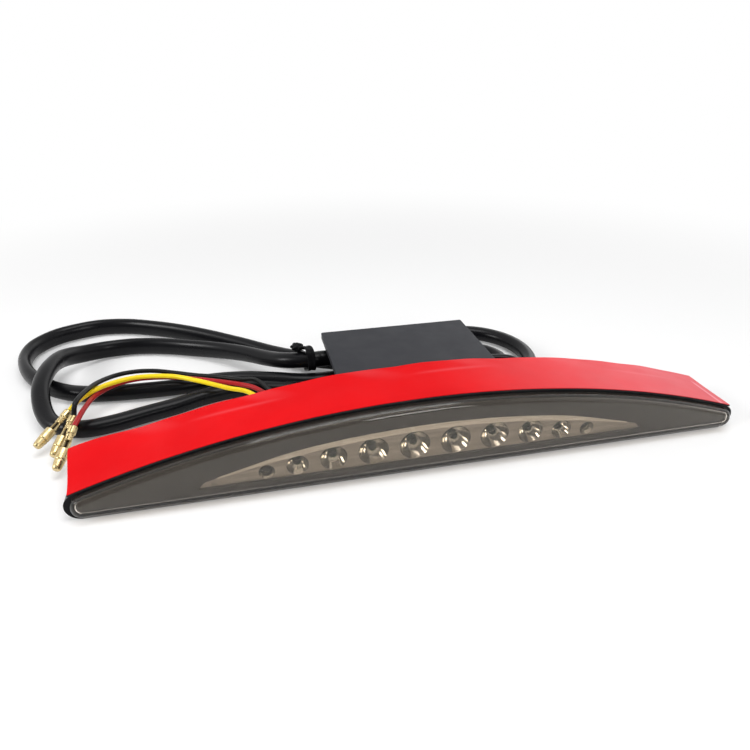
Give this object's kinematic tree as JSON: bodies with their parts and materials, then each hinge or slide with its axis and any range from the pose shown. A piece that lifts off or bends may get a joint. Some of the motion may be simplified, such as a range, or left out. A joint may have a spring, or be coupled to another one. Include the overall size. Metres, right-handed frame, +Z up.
{
  "type": "tail light",
  "caption": "Slim arched LED tail light with smoked lens, red-backed mounting tape, separate control module and a tied lead ending in bullet terminals.",
  "frame": {"origin": "on the ground under the middle of the lamp, half-way between the lens face and the tape's back edge", "axes": "+X along the lamp, the lens faces -Y, +Z up"},
  "size_m": [0.2991, 0.1619, 0.031],
  "materials": {
    "black_plastic": "glossy moulded black plastic",
    "smoked_lens": "clear polished smoke-tinted acrylic",
    "seal_rubber": "soft matte black rubber",
    "bezel_plastic": "satin dark grey plastic",
    "reflector_coat": "vacuum-metallised satin plastic",
    "board_green": "green lacquered board",
    "part_black": "black moulded electronic part",
    "screw_steel": "plated steel",
    "foam_grey": "dark grey acrylic foam",
    "film_red": "thin glossy red film",
    "sleeve_black": "glossy black soft vinyl sleeve",
    "cover_plastic": "fine matte dark grey plastic",
    "capacitor_sleeve": "shrink sleeve",
    "core_yellow": "yellow vinyl insulation",
    "core_red": "red vinyl insulation",
    "core_black": "black vinyl insulation",
    "bullet_brass": "bright stamped brass",
    "tie_nylon": "black nylon",
    "led_clear": "clear moulded LED body"
  },
  "bodies": {
    "root": {"housing": "black_plastic", "lens": "smoked_lens", "lens_seal": "seal_rubber", "bezel": "bezel_plastic", "reflector": "reflector_coat", "circuit_board": "board_green", "resistors": "part_black", "board_screws": "screw_steel", "tape_foam": "foam_grey", "tape_liner": "film_red", "cable_grommet": "seal_rubber", "lamp_lead": "sleeve_black", "module_case": "black_plastic", "module_cover": "cover_plastic", "module_board": "board_green", "module_chip": "part_black", "module_capacitor": "capacitor_sleeve", "module_diodes": "part_black", "lamp_grommet": "seal_rubber", "supply_grommet": "seal_rubber", "supply_lead": "sleeve_black", "wire_yellow": "core_yellow", "wire_red": "core_red", "wire_black": "core_black", "terminal_yellow": "bullet_brass", "terminal_red": "bullet_brass", "terminal_black": "bullet_brass", "cable_tie": "tie_nylon", "led_1": "led_clear", "led_2": "led_clear", "led_3": "led_clear", "led_4": "led_clear", "led_5": "led_clear", "led_6": "led_clear", "led_7": "led_clear", "led_8": "led_clear", "led_9": "led_clear", "led_10": "led_clear"}
  },
  "joints": []
}
